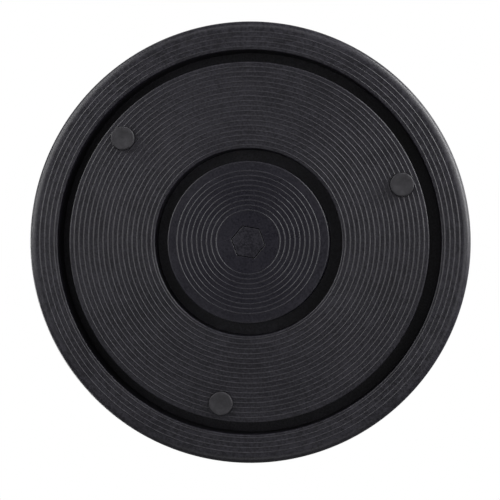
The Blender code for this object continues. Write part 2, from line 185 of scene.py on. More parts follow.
# Black moulded plastic: fine spark-eroded grain and speckle, a faint mottle, rib crests paler, partly wear
# and partly a painted highlight, and a glossier middle with painted shade. Sizes and depths are in
# millimetres.
plasticLook = {
    "dark": (0.0065, 0.0059, 0.0096),
    "pale": (0.0256, 0.0240, 0.0325),
    "toneShares": (0.65, 0.20, 0.15),      # speckle, mottle and cloud
    "toneEdge": (0.41, 0.59),
    # pale colour of the scuffs, and of the rib crests, where it is partly wear and partly a painted
    # highlight
    "wearAndHighlight": (0.060, 0.058, 0.067),
    "crestWearAndHighlight": 0.45,
    "crestPatch": 14.0,
    "crestLeast": 0.45,
    "crestSpread": 0.90,
    "rubbedGloss": 0.10,
    "crestEdge": (0.45, 0.95),             # shares of a rib's height
    # painted shade: the colour that darkens the middle of each moulding
    "paintedShade": (0.0038, 0.0030, 0.0100),
    "paintedShadeStrength": 0.55,
    "middleGloss": 0.10,
    "paintedShadeWithin": 30.0,
    "paintedShadeEnds": 52.0,
    "roughness": 0.37,
    "ior": 1.5,
    "grain": 0.40,
    "grainDepth": 0.026,
    "speckle": 1.1,
    "speckleRough": 0.20,
    "mottle": 5.0,
    "mottleRough": 0.10,
    "mottleRelief": 0.5,
    "cloud": 45.0,
    "cloudRough": 0.10,
    "scuffTurns": (12, 77, 148),
    "scuffShift": (0.3, 0.1),              # metres, so that no two ways share a pattern
    "scuffWidth": 0.35,
    "scuffSquash": 0.02,
    "scuffEdge": (0.68, 0.74),
    "scuffPatch": 26.0,
    "scuffPatchEdge": (0.52, 0.66),
    "scuffShow": 0.25,
    "scuffRough": 0.08,
    "scuffRelief": -0.4,
}


def mouldedPlastic(name, look, land=None, crest=None):
    # land and crest are the heights of a ribbed face and of its ribs
    material, pen, place = startMaterial(name)
    grain = noise(place, look["grain"], detail=2.0, roughness=0.6)
    speckle = noise(place, look["speckle"], detail=2.0, roughness=0.7)
    mottle = noise(place, look["mottle"], detail=3.0, roughness=0.6)
    cloud = noise(place, look["cloud"], detail=3.0)
    scuffs = hairlines(place, look)
    # painted shade, full within the inner radius and gone past the outer one
    paintedShade = 1 - ramped(radiusOf(place), look["paintedShadeWithin"] * mm, look["paintedShadeEnds"] * mm)
    paintedShade = paintedShade * look["paintedShadeStrength"]
    fine, middling, broad = look["toneShares"]
    tone = ramped(speckle * fine + mottle * middling + cloud * broad, *look["toneEdge"])
    colour = blended(tone, look["dark"], look["pale"])
    colour = blended(paintedShade, colour, look["paintedShade"])
    colour = blended(scuffs * look["scuffShow"], colour, look["wearAndHighlight"])
    roughness = look["roughness"] + swung(mottle, look["mottleRough"]) + swung(speckle, look["speckleRough"])
    roughness = roughness + swung(cloud, look["cloudRough"])
    roughness = roughness + scuffs * look["scuffRough"] - paintedShade * look["middleGloss"]
    # rib crests painted paler: partly wear, partly a painted highlight that brightens the rib lines
    if land is not None:
        height = axisOf(place, "Z")
        onCrest = ramped((height - land * mm) / ((crest - land) * mm), *look["crestEdge"])
        wearAndHighlightPatches = look["crestLeast"] + look["crestSpread"] * noise(place, look["crestPatch"], detail=3.0)
        crestWearAndHighlight = onCrest * wearAndHighlightPatches * look["crestWearAndHighlight"]
        colour = blended(crestWearAndHighlight, colour, look["wearAndHighlight"])
        roughness = roughness - crestWearAndHighlight * look["rubbedGloss"]
    relief = grain + scuffs * look["scuffRelief"] + mottle * look["mottleRelief"]
    values = {
        "Base Color": colour,
        "Roughness": roughness,
        "Normal": bumped(relief, look["grainDepth"]),
        "IOR": look["ior"],
    }
    finishMaterial(pen, pen.node("ShaderNodeBsdfPrincipled", {}, values))
    return material


# Black rubber of the feet: matt, dusty, with a soft pitted skin
rubberLook = {
    "dark": (0.0190, 0.0182, 0.0222),
    "dusty": (0.0370, 0.0355, 0.0415),
    "dustEdge": (0.35, 0.75),
    "dustPatch": 3.0,
    "dustRough": 0.22,
    "dustRelief": 0.6,
    "roughness": 0.62,
    "ior": 1.5,
    "pit": 0.25,
    "pitDepth": 0.014,
}


def footRubber(look):
    material, pen, place = startMaterial("footRubber")
    pits = noise(place, look["pit"], detail=3.0, roughness=0.65)
    patches = noise(place, look["dustPatch"], detail=4.0, roughness=0.6)
    values = {
        "Base Color": blended(ramped(patches, *look["dustEdge"]), look["dark"], look["dusty"]),
        "Roughness": look["roughness"] + swung(patches, look["dustRough"]),
        "Normal": bumped(pits + patches * look["dustRelief"], look["pitDepth"]),
        "IOR": look["ior"],
    }
    finishMaterial(pen, pen.node("ShaderNodeBsdfPrincipled", {}, values))
    return material


# Nylon of the cage: cream, slightly milky
cageLook = {
    "dark": (0.50, 0.46, 0.36),
    "pale": (0.66, 0.62, 0.52),
    "blotchEdge": (0.3, 0.7),
    "blotch": 1.2,
    "blotchRough": 0.2,
    "roughness": 0.42,
    "grain": 0.12,
    "grainDepth": 0.004,
    "milkiness": 0.1,
    "milkDepth": 1.0,
}


def cageNylon(look):
    material, pen, place = startMaterial("cageNylon")
    blotches = noise(place, look["blotch"], detail=3.0)
    grain = noise(place, look["grain"], detail=2.0)
    values = {
        "Base Color": blended(ramped(blotches, *look["blotchEdge"]), look["dark"], look["pale"]),
        "Roughness": look["roughness"] + swung(blotches, look["blotchRough"]),
        "Normal": bumped(grain, look["grainDepth"]),
        "Subsurface Weight": look["milkiness"],
        "Subsurface Scale": look["milkDepth"] * mm,
    }
    finishMaterial(pen, pen.node("ShaderNodeBsdfPrincipled", {}, values))
    return material


# Ground bearing steel: fine rings round the axis under a film of grease
steelLook = {
    "dark": (0.42, 0.42, 0.43),
    "pale": (0.62, 0.62, 0.63),
    "toneShares": (0.5, 0.5),     # rings and film
    "roughness": 0.20,
    "ringWidth": 0.05,
    "ringDepth": 0.0015,
    "ringRough": 0.12,
    "film": 2.5,
    "filmRough": 0.16,
}


def bearingSteel(look):
    material, pen, place = startMaterial("bearingSteel")
    across = pen.node("ShaderNodeCombineXYZ", {}, {"X": radiusOf(place), "Z": axisOf(place, "Z")})
    rings = noise(across, look["ringWidth"], detail=2.0)
    film = noise(place, look["film"], detail=3.0)
    ringShare, filmShare = look["toneShares"]
    uneven = swung(rings, look["ringRough"]) + swung(film, look["filmRough"])
    values = {
        "Base Color": blended(rings * ringShare + film * filmShare, look["dark"], look["pale"]),
        "Roughness": look["roughness"] + uneven,
        "Normal": bumped(rings, look["ringDepth"]),
        "Metallic": 1.0,
    }
    finishMaterial(pen, pen.node("ShaderNodeBsdfPrincipled", {}, values))
    return material


# Zinc plate: spangled, slightly blue where it is dark
zincLook = {
    "dark": (0.46, 0.48, 0.52),
    "pale": (0.68, 0.69, 0.72),
    "toneShares": (0.4, 0.6),     # spangle and grime
    "roughness": 0.34,
    "spangle": 0.8,
    "spangleRough": 0.12,
    "grime": 1.6,
    "grimeRough": 0.24,
    "grimeDepth": 0.004,
}


def zincPlate(look):
    material, pen, place = startMaterial("zincPlate")
    scale = 1 / (look["spangle"] * mm)
    spangle = place.node("ShaderNodeTexVoronoi", {}, {"Vector": place, "Scale": scale}, "Color")
    tone = spangle.node("ShaderNodeSeparateColor", {}, {"Color": spangle}, "Red")
    grime = noise(place, look["grime"], detail=4.0, roughness=0.65)
    spangleShare, grimeShare = look["toneShares"]
    uneven = swung(tone, look["spangleRough"]) + swung(grime, look["grimeRough"])
    values = {
        "Base Color": blended(tone * spangleShare + grime * grimeShare, look["dark"], look["pale"]),
        "Roughness": look["roughness"] + uneven,
        "Normal": bumped(grime, look["grimeDepth"]),
        "Metallic": 1.0,
    }
    finishMaterial(pen, pen.node("ShaderNodeBsdfPrincipled", {}, values))
    return material


# Geometry node trees

def startTree(name, inputs):
    tree = bpy.data.node_groups.new(name, "GeometryNodeTree")
    for label, kind in inputs.items():
        tree.interface.new_socket(label, in_out="INPUT", socket_type="NodeSocket" + kind)
    tree.interface.new_socket("Geometry", in_out="OUTPUT", socket_type="NodeSocketGeometry")
    source = tree.nodes.new("NodeGroupInput")
    return Wire(tree), {label: Wire(tree, source.outputs[label]) for label in inputs}


def finishTree(pen, geometry, material=None):
    if material:
        geometry = pen.node("GeometryNodeRealizeInstances", {}, {"Geometry": geometry})
        values = {"Geometry": geometry, "Material": material}
        geometry = pen.node("GeometryNodeSetMaterial", {}, values)
    pen.node("NodeGroupOutput", {}, {"Geometry": geometry})
    return pen.tree


# sizes of a row of ribs, and the number of the outline's point that it comes after
rowSizes = {
    "First Radius": "Float",
    "Pitch": "Float",
    "Count": "Int",
    "Land": "Float",
    "Rise": "Float",
    "After": "Float",
}
pointsPerRib = 9
ribReach = 0.8     # the share of a rib's points that rise, since its first and last lie on the land
mergeWithin = 0.002 * mm


def ribRowTree():
    # one row of ribs as points in the outline's plane, to be threaded into the outline by their order
    pen, size = startTree("rib row", {**rowSizes, "Rib Width": "Float"})
    index = pen.node("GeometryNodeInputIndex")
    rib = pen.calc("FLOOR", (index + 0.5) / pointsPerRib)
    step = index - rib * pointsPerRib
    middle = (pointsPerRib - 1) / 2
    across = (step - middle) / (middle * ribReach)
    inside = pen.calc("MINIMUM", pen.calc("ABSOLUTE", across), 1.0)
    swell = 0.5 + 0.5 * pen.calc("COSINE", inside * math.pi)
    radius = size["First Radius"] + rib * size["Pitch"]
    radius = radius + across * size["Rib Width"] * 0.5 * pen.calc("SIGN", size["Pitch"])
    height = size["Land"] + swell * size["Rise"]
    spot = pen.node("ShaderNodeCombineXYZ", {}, {"X": radius, "Z": height})
    count = size["Count"] * pointsPerRib
    points = pen.node("GeometryNodePoints", {}, {"Count": count, "Position": spot})
    order = size["After"] + (index + 1) / (count + 1)
    values = {"Geometry": points, "Name": "order", "Value": order}
    return finishTree(pen, pen.node("GeometryNodeStoreNamedAttribute", {}, values))


def turnedTree(name, rows, ribRow):
    # turns an outline, with its rows of ribs, about the Z axis into one closed skin
    inputs = {
        "Geometry": "Geometry",
        "Segments": "Int",
        "Closed": "Int",
        "Rib Width": "Float",
        "Material": "Material",
    }
    for row in range(rows):
        inputs.update({f"Row {row + 1} {label}": kind for label, kind in rowSizes.items()})
    pen, size = startTree(name, inputs)
    points = [pen.node("GeometryNodeMeshToPoints", {}, {"Mesh": size["Geometry"]})]
    for row in range(rows):
        values = {label: size[f"Row {row + 1} {label}"] for label in rowSizes}
        values["Rib Width"] = size["Rib Width"]
        points.append(pen.node("GeometryNodeGroup", {"node_tree": ribRow}, values))
    joined = pen.node("GeometryNodeJoinGeometry", {}, {"Geometry": points})
    order = pen.node("GeometryNodeInputNamedAttribute", {}, {"Name": "order"}, "Attribute")
    outline = pen.node("GeometryNodePointsToCurves", {}, {"Points": joined, "Weight": order})
    counted = {"Geometry": outline}
    count = pen.node("GeometryNodeAttributeDomainSize", {"component": "CURVE"}, counted, "Point Count")

    # one column of the sheet for each point of the outline, one row for each step round the axis
    sheetSize = {"Vertices X": count + size["Closed"], "Vertices Y": size["Segments"] + 1}
    sheet = pen.node("GeometryNodeMeshGrid", {}, sheetSize, "Mesh")
    index = pen.node("GeometryNodeInputIndex")
    column = pen.calc("FLOOR", (index + 0.5) / (size["Segments"] + 1))
    step = index - column * (size["Segments"] + 1)
    place = {"Geometry": outline, "Index": column % count}
    position = {**place, "Value": pen.node("GeometryNodeInputPosition")}
    spot = pen.node("GeometryNodeSampleIndex", {"data_type": "FLOAT_VECTOR"}, position)
    sixSided = pen.node("GeometryNodeInputNamedAttribute", {}, {"Name": "sixSided"}, "Attribute")
    sixSided = pen.node("GeometryNodeSampleIndex", {}, {**place, "Value": sixSided})
    angle = step * math.tau / size["Segments"]
    fromFlat = angle % (math.pi / 3) - math.pi / 6
    radius = axisOf(spot, "X") * (1 + sixSided * (1 / pen.calc("COSINE", fromFlat) - 1))
    turned = {
        "X": radius * pen.calc("COSINE", angle),
        "Y": radius * pen.calc("SINE", angle),
        "Z": axisOf(spot, "Z"),
    }
    turned = pen.node("ShaderNodeCombineXYZ", {}, turned)
    skin = pen.node("GeometryNodeSetPosition", {}, {"Geometry": sheet, "Position": turned})
    skin = pen.node("GeometryNodeMergeByDistance", {}, {"Geometry": skin, "Distance": mergeWithin})
    return finishTree(pen, skin, size["Material"])


def ringPoints(pen, size):
    # points evenly round the axis, and the turn that each copy gets
    index = pen.node("GeometryNodeInputIndex")
    angle = size["First Angle"] + index * math.tau / size["Count"]
    spot = {
        "X": size["Circle Radius"] * pen.calc("COSINE", angle),
        "Y": size["Circle Radius"] * pen.calc("SINE", angle),
        "Z": size["Height"],
    }
    spot = pen.node("ShaderNodeCombineXYZ", {}, spot)
    points = pen.node("GeometryNodePoints", {}, {"Count": size["Count"], "Position": spot})
    euler = pen.node("ShaderNodeCombineXYZ", {}, {"Z": angle})
    turn = pen.node("FunctionNodeEulerToRotation", {}, {"Euler": euler})
    return points, turn


ringSizes = {"Count": "Int", "Circle Radius": "Float", "First Angle": "Float", "Height": "Float"}
recessSides = 64


def ringTree():
    # copies of what comes in, evenly round the axis
    pen, size = startTree("ring of copies", {"Geometry": "Geometry", **ringSizes, "Material": "Material"})
    points, turn = ringPoints(pen, size)
    copies = {"Points": points, "Instance": size["Geometry"], "Rotation": turn}
    copies = pen.node("GeometryNodeInstanceOnPoints", {}, copies)
    return finishTree(pen, copies, size["Material"])


def roundRecessTree():
    # sinks flat-bottomed round recesses into the underside of what comes in
    cutSizes = {"Recess Radius": "Float", "Cut Depth": "Float", "Material": "Material"}
    pen, size = startTree("round recesses", {"Geometry": "Geometry", **ringSizes, **cutSizes})
    points, turn = ringPoints(pen, size)
    cutter = {"Vertices": recessSides, "Radius": size["Recess Radius"], "Depth": size["Cut Depth"] * 2}
    cutter = pen.node("GeometryNodeMeshCylinder", {}, cutter, "Mesh")
    cutters = {"Points": points, "Instance": cutter, "Rotation": turn}
    cutters = pen.node("GeometryNodeInstanceOnPoints", {}, cutters)
    cutters = pen.node("GeometryNodeRealizeInstances", {}, {"Geometry": cutters})
    cut = {"Mesh 1": size["Geometry"], "Mesh 2": cutters}
    settings = {"operation": "DIFFERENCE", "solver": "EXACT"}
    cut = pen.node("GeometryNodeMeshBoolean", settings, cut, "Mesh")
    return finishTree(pen, cut, size["Material"])


# Outlines: radius and height in millimetres, then that corner's rounding and a word where it is six-sided.
# A dictionary between two corners is a row of ribs.

def softened(corners, index, arcSteps=5, hold=0.12):
    # the points that stand for one corner, with a rounding's arc held flat at both ends
    radius, height, rounding = (*corners[index], 0)[:3]
    here = Vector((radius, height))
    if not rounding:
        return [here]
    before = (Vector(corners[index - 1][:2]) - here).normalized()
    after = (Vector(corners[(index + 1) % len(corners)][:2]) - here).normalized()
    half = before.angle(after) / 2
    reach = rounding / math.tan(half)
    centre = here + (before + after).normalized() * rounding / math.sin(half)
    spoke = here + before * reach - centre
    turn = math.copysign(math.pi - 2 * half, before.x * after.y - before.y * after.x) * -1
    arc = [centre + Matrix.Rotation(turn * step / arcSteps, 2) @ spoke for step in range(arcSteps + 1)]
    return [arc[0] + before * hold, *arc, arc[-1] + after * hold]


def outlined(name, outline):
    # a mesh of bare points that holds the outline, and the sizes of its rows of ribs
    corners = [item for item in outline if not isinstance(item, dict)]
    corner = 0
    points = []
    sides = []
    rows = []
    for item in outline:
        if isinstance(item, dict):
            rows.append({**item, "After": len(points) - 1.0})
            continue
        made = softened(corners, corner)
        corner += 1
        points.extend(made)
        sides.extend([1.0 if "six" in item else 0.0] * len(made))
    mesh = bpy.data.meshes.new(name)
    mesh.from_pydata([(spot.x * mm, 0, spot.y * mm) for spot in points], [], [])
    mesh.attributes.new("order", "FLOAT", "POINT").data.foreach_set("value", range(len(points)))
    mesh.attributes.new("sixSided", "FLOAT", "POINT").data.foreach_set("value", sides)
    thing = bpy.data.objects.new(name, mesh)
    bpy.context.scene.collection.objects.link(thing)
    return thing, rows


def addTree(thing, tree, values):
    modifier = thing.modifiers.new(tree.name, "NODES")
    modifier.node_group = tree
    for socket in tree.interface.items_tree:
        if socket.in_out == "INPUT" and socket.name in values:
            modifier[socket.identifier] = values[socket.name]


def settle(thing, sharpAngle=58):
    # the evaluated shape as a plain mesh, closed and facing outwards, with edges past the angle kept crisp
    graph = bpy.context.evaluated_depsgraph_get()
    mesh = bpy.data.meshes.new_from_object(thing.evaluated_get(graph), depsgraph=graph)
    thing.modifiers.clear()
    thing.data = mesh
    shape = bmesh.new()
    shape.from_mesh(mesh)
    bmesh.ops.remove_doubles(shape, verts=shape.verts, dist=mergeWithin / 2)
    bmesh.ops.recalc_face_normals(shape, faces=shape.faces)
    openEdges = sum(not edge.is_manifold for edge in shape.edges)
    volume = shape.calc_volume(signed=True)
    if volume < 0:
        bmesh.ops.reverse_faces(shape, faces=shape.faces)
    shape.to_mesh(mesh)
    shape.free()
    mesh.polygons.foreach_set("use_smooth", [True] * len(mesh.polygons))
    mesh.set_sharp_from_angle(angle=math.radians(sharpAngle))
    mesh.calc_loop_triangles()
    print(f"{thing.name}: {len(mesh.loop_triangles)} triangles, {openEdges} open edges")


ribRow = ribRowTree()
ringOfCopies = ringTree()
roundRecesses = roundRecessTree()
turnedTrees = {}


def turnOutline(name, outline, material, segments=240, closed=True):
    # closed outlines are rings; the others start and end on the axis
    thing, rows = outlined(name, outline)
    if len(rows) not in turnedTrees:
        title = f"turned outline with {len(rows)} rib rows"
        turnedTrees[len(rows)] = turnedTree(title, len(rows), ribRow)
    values = {
        "Segments": segments,
        "Closed": int(closed),
        "Rib Width": ribs["width"] * mm,
        "Material": material,
    }
    for number, row in enumerate(rows, 1):
        for label, size in row.items():
            unit = 1 if label in ("Count", "After") else mm
            values[f"Row {number} {label}"] = size * unit
    addTree(thing, turnedTrees[len(rows)], values)
    return thing


def sizeOf(node):
    low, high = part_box(node)
    return low / mm, high / mm


def finishPiece(piece, body, slot, *nodes):
    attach(piece, body)
    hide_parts(*nodes)


# Heights and radii that the pieces share, from the frame
baseLow, baseHigh = sizeOf("base_disc")
rimLow, rimHigh = sizeOf("rim_ring")
wheelLow, wheelHigh = sizeOf("wheel_head")
spindleLow, spindleHigh = sizeOf("spindle")
capLow, capHigh = sizeOf("centre_cap")
footLow, footHigh = sizeOf("foot_1")

ribs = {"height": 0.24, "width": 0.72}
skin = 2.6     # wall of the mouldings
fineEdge = 0.15


def ribRowOf(row, land, upwards=False):
    # a row is its first radius, its count and its pitch, which is negative where it runs inwards
    first, count, pitch = row
    rise = ribs["height"] if upwards else -ribs["height"]
    return {"First Radius": first, "Pitch": pitch, "Count": count, "Land": land, "Rise": rise}


# Base and its feet, in millimetres
base = {
    "face": baseLow.z,
    "radius": baseHigh.x,
    "innerLand": 41.25,
    "channelWidth": 6.45,
    "channelDepth": 15.0,
    "skirtHeight": 14.0,
    "socketFlat": 7.7,
    "bossRadius": 12.0,
    "bossTop": 8.2,
    "edge": 0.7,
    "backEdge": 0.4,
    "socketEdge": 0.25,
    "innerRibs": (16.3, 9, 2.5),
    "outerRibs": (49.35, 17, 2.483),
}
feet = {
    "count": 3,
    "radius": (footHigh.x - footLow.x) / 2,
    "circle": (footHigh.y + footLow.y) / 2,
    "firstAngle": math.radians(90),
    "recessGap": 0.3,
    "recessDepth": 0.8,
    "edge": 0.6,
    "backEdge": 0.2,
    "dish": 0.12,
    "dishRadius": 0.55,    # shares of the foot's radius
    "dishRim": 0.62,
}


def makeBase(material):
    land = base["face"] + ribs["height"]
    skinTop = base["face"] + skin
    roof = base["face"] + base["channelDepth"]
    outer = base["innerLand"] + base["channelWidth"]
    skirtTop = base["face"] + base["skirtHeight"]
    edge = base["edge"]
    back = base["backEdge"]
    outline = [
        (base["socketFlat"], land, base["socketEdge"], "six"),
        (base["bossRadius"], land),
        ribRowOf(base["innerRibs"], land),
        (base["innerLand"], land, edge),
        (base["innerLand"], roof, back),
        (outer, roof, back),
        (outer, land, edge),
        ribRowOf(base["outerRibs"], land),
        (base["radius"], land, edge),
        (base["radius"], skirtTop, back),
        (base["radius"] - skin, skirtTop, back),
        (base["radius"] - skin, skinTop, back),
        (outer + skin, skinTop, back),
        (outer + skin, baseHigh.z, back),
        (base["innerLand"] - skin, baseHigh.z, back),
        (base["innerLand"] - skin, skinTop, back),
        (base["bossRadius"], skinTop, back),
        (base["bossRadius"], base["bossTop"], back),
        (base["socketFlat"], base["bossTop"], base["socketEdge"], "six"),
    ]
    piece = turnOutline("baseMoulding", outline, material)
    recess = {
        "Count": feet["count"],
        "Circle Radius": feet["circle"] * mm,
        "First Angle": feet["firstAngle"],
        "Height": (base["face"] - feet["recessDepth"]) * mm,
        "Recess Radius": (feet["radius"] + feet["recessGap"]) * mm,
        "Cut Depth": feet["recessDepth"] * 2 * mm,
        "Material": material,
    }
    addTree(piece, roundRecesses, recess)
    settle(piece)
    finishPiece(piece, "base", "black_abs", "base_disc")


def makeFeet(material):
    top = footHigh.z
    outline = [
        (0, feet["dish"]),
        (feet["radius"] * feet["dishRadius"], feet["dish"]),
        (feet["radius"] * feet["dishRim"], 0.0),
        (feet["radius"], 0.0, feet["edge"]),
        (feet["radius"], top, feet["backEdge"]),
        (0, top),
    ]
    piece = turnOutline("rubberFeet", outline, material, segments=72, closed=False)
    ring = {
        "Count": feet["count"],
        "Circle Radius": feet["circle"] * mm,
        "First Angle": feet["firstAngle"],
        "Height": 0.0,
        "Material": material,
    }
    addTree(piece, ringOfCopies, ring)
    settle(piece)
    finishPiece(piece, "base", "rubber", *[f"foot_{number + 1}" for number in range(feet["count"])])


# Spindle, whose hexagonal foot shows in the base's socket
spindle = {
    "foot": spindleLow.z,
    "top": spindleHigh.z,
    "flat": 7.5,
    "footChamfer": 0.45,
    "flangeBottom": 8.5,
    "flangeTop": 10.0,
    "flangeRadius": 9.76,
    "collarTop": 10.8,
    "collarRadius": 8.15,
    "journalRadius": 5.7,
    "journalChamfer": 0.4,
    "holeRadius": 2.8,
    "holeDepth": 9.9,
    "holeEdge": 0.3,
    "flangeEdge": 0.2,
    "hexEdge": 0.1,
}


def makeSpindle(material):
    outline = [
        (0, spindle["foot"]),
        (spindle["flat"], spindle["foot"], spindle["footChamfer"], "six"),
        (spindle["flat"], spindle["flangeBottom"], spindle["hexEdge"], "six"),
        (spindle["flangeRadius"], spindle["flangeBottom"], spindle["flangeEdge"]),
        (spindle["flangeRadius"], spindle["flangeTop"], spindle["flangeEdge"]),
        (spindle["collarRadius"], spindle["flangeTop"], fineEdge),
        (spindle["collarRadius"], spindle["collarTop"], fineEdge),
        (spindle["journalRadius"], spindle["collarTop"], fineEdge),
        (spindle["journalRadius"], spindle["top"], spindle["journalChamfer"]),
        (spindle["holeRadius"], spindle["top"], spindle["holeEdge"]),
        (spindle["holeRadius"], spindle["top"] - spindle["holeDepth"]),
        (0, spindle["top"] - spindle["holeDepth"]),
    ]
    piece = turnOutline("spindlePost", outline, material, segments=120, closed=False)
    settle(piece)
    finishPiece(piece, "base", "spindle_nylon", "spindle")


# Wheel head: the rim ring below, the plate above, and the line where they meet
wheel = {
    "radius": wheelHigh.x,
    "rimFace": rimLow.z,
    "rimWidth": 14.7,
    "rounding": 3.7,
    "rimRibs": (99.4, 4, 2.5),
    "splitGap": 0.3,
    "splitEdge": 0.35,
    "tongueLap": 4.0,
    "tongueThickness": 2.0,
    "plateThickness": 3.0,
    "hubRadius": 20.5,
    "hubSeat": 14.3,
    "bearingTop": 19.4,
    "capLedge": 24.2,
    "ledgeRadius": 11.55,
    "backEdge": 0.4,
    "tongueEdge": 0.3,
    "hubEdge": 0.3,
    "plateCorner": 0.6,
    "topRibs": ((107.4, 4, -2.5), (89.7, 17, -2.5), (36.5, 9, -2.5)),   # from the rim inwards
    "plainBands": (98.4, 44.0),   # radii inside the plain bands between them
}
splitHeight = (wheel["rimFace"] + wheelHigh.z) / 2
plateUnderside = wheelHigh.z - wheel["plateThickness"]


def makeRim(material):
    land = wheel["rimFace"] + ribs["height"]
    inner = wheel["radius"] - wheel["rimWidth"]
    outerWall = wheel["radius"] - skin
    tongueOuter = outerWall - wheel["splitGap"]
    tongueInner = tongueOuter - wheel["tongueThickness"]
    split = splitHeight - wheel["splitGap"] / 2
    tongueTop = splitHeight + wheel["tongueLap"]
    tongueFoot = splitHeight - wheel["tongueLap"]
    back = wheel["backEdge"]
    outline = [
        (inner, land, base["edge"]),
        ribRowOf(wheel["rimRibs"], land),
        (wheel["radius"], land, wheel["rounding"]),
        (wheel["radius"], split, wheel["splitEdge"]),
        (tongueOuter, split, fineEdge),
        (tongueOuter, tongueTop, wheel["tongueEdge"]),
        (tongueInner, tongueTop, wheel["tongueEdge"]),
        (tongueInner, tongueFoot, wheel["tongueEdge"]),
        (outerWall, tongueFoot, fineEdge),
        (outerWall, rimLow.z + skin, back),
        (inner + skin, rimLow.z + skin, back),
        (inner + skin, rimHigh.z, back),
        (inner, rimHigh.z, back),
    ]
    piece = turnOutline("rimMoulding", outline, material)
    settle(piece)
    finishPiece(piece, "wheel", "black_abs", "rim_ring")


def makeWheelHead(material):
    land = wheelHigh.z - ribs["height"]
    wallInner = wheel["radius"] - skin
    split = splitHeight + wheel["splitGap"] / 2
    rimRow, middleRow, innerRow = [ribRowOf(row, land, upwards=True) for row in wheel["topRibs"]]
    outerBand, innerBand = wheel["plainBands"]
    capRecess = capHigh.x + wheel["splitGap"]
    back = wheel["backEdge"]
    outline = [
        (wheel["hubSeat"], wheelLow.z, wheel["hubEdge"]),
        (wheel["hubRadius"], wheelLow.z, back),
        (wheel["hubRadius"], plateUnderside, back),
        (wallInner, plateUnderside, wheel["plateCorner"]),
        (wallInner, split, fineEdge),
        (wheel["radius"], split, wheel["splitEdge"]),
        (wheel["radius"], land, wheel["rounding"]),
        rimRow,
        (outerBand, land),
        middleRow,
        (innerBand, land),
        innerRow,
        (capRecess, land, back),
        (capRecess, wheel["capLedge"], fineEdge),
        (wheel["ledgeRadius"], wheel["capLedge"], wheel["hubEdge"]),
        (wheel["ledgeRadius"], wheel["bearingTop"], wheel["hubEdge"]),
        (wheel["hubSeat"], wheel["bearingTop"], fineEdge),
    ]
    piece = turnOutline("wheelMoulding", outline, material)
    settle(piece)
    finishPiece(piece, "wheel", "black_abs", "wheel_head")


# Centre cap, pressed into the hub's opening
cap = {
    "bottom": 24.5,
    "skirtOuter": 11.25,
    "skirtInner": 9.95,
    "skirtEdges": (0.2, 0.3),
    "underEdge": 0.1,
    "edge": 0.5,
    "dish": 0.35,
    "dishRadius": 9.5,
    "dishSlope": 0.8,
    "dishEdge": 0.4,
}


def makeCap(material):
    top = capHigh.z
    innerEdge, outerEdge = cap["skirtEdges"]
    outline = [
        (0, cap["bottom"]),
        (cap["skirtInner"], cap["bottom"], fineEdge),
        (cap["skirtInner"], capLow.z, innerEdge),
        (cap["skirtOuter"], capLow.z, outerEdge),
        (cap["skirtOuter"], cap["bottom"], cap["underEdge"]),
        (capHigh.x, cap["bottom"], fineEdge),
        (capHigh.x, top, cap["edge"]),
        (cap["dishRadius"] + cap["dishSlope"], top, cap["dishEdge"]),
        (cap["dishRadius"], top - cap["dish"], cap["dishEdge"]),
        (0, top - cap["dish"]),
    ]
    piece = turnOutline("capMoulding", outline, material, segments=120, closed=False)
    settle(piece)
    finishPiece(piece, "wheel", "black_abs", "centre_cap")


ribHeight = ribs["height"]
smallLook = {**plasticLook, "roughness": 0.36}
basePlastic = mouldedPlastic("basePlastic", plasticLook, base["face"] + ribHeight, base["face"])
rimPlastic = mouldedPlastic("rimPlastic", plasticLook, wheel["rimFace"] + ribHeight, wheel["rimFace"])
topPlastic = mouldedPlastic("topPlastic", plasticLook, wheelHigh.z - ribHeight, wheelHigh.z)
smallPlastic = mouldedPlastic("smallPlastic", smallLook)
# the spindle gets less of the painted shade in the middle
spindlePlastic = mouldedPlastic("spindlePlastic", {**smallLook, "paintedShadeStrength": 0.25})
rubber = footRubber(rubberLook)
cageMaterial = cageNylon(cageLook)
steel = bearingSteel(steelLook)
zinc = zincPlate(zincLook)
print("materials made")

makeBase(basePlastic)
makeFeet(rubber)
makeSpindle(spindlePlastic)
makeRim(rimPlastic)
makeWheelHead(topPlastic)
makeCap(smallPlastic)
print("pieces made")

# Finishes of the nodes that keep their own shape
keptFinish = {
    "bearing_cover": smallPlastic,
    "ball_cage": cageMaterial,
    "bearing_inner_ring": steel,
    "bearing_outer_ring": steel,
    "bearing_shield_lower": steel,
    "bearing_shield_upper": steel,
    "flat_washer": zinc,
    "spring_washer": zinc,
    "clamp_screw": zinc,
}
for name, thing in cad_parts.items():
    if thing.hide_render:
        continue
    # the balls and the cover's screws have numbers in their names
    finish = zinc if name.startswith("cover_screw") else steel
    thing.data.materials.clear()
    thing.data.materials.append(keptFinish.get(name, finish))
print("kept nodes finished")

# Camera, square under the turntable but for a few degrees towards the side that shows on the right
viewing = {
    "distance": 1000.0,
    "tilt": 4.1,
    "rightTowards": 110.4,   # the frame's angle that points to the right of the view
    "frameWidth": 253.6,     # how much the view takes in, at the base's face
    "aside": 0.95,           # the view's middle, from the axis
    "below": 4.0,
    "sensor": 36.0,
    "clip": (0.05, 50.0),
}
toRight = math.radians(viewing["rightTowards"])
rightward = Vector((math.cos(toRight), math.sin(toRight), 0))
upward = Vector((math.sin(toRight), -math.cos(toRight), 0))
downward = Vector((0, 0, -1))


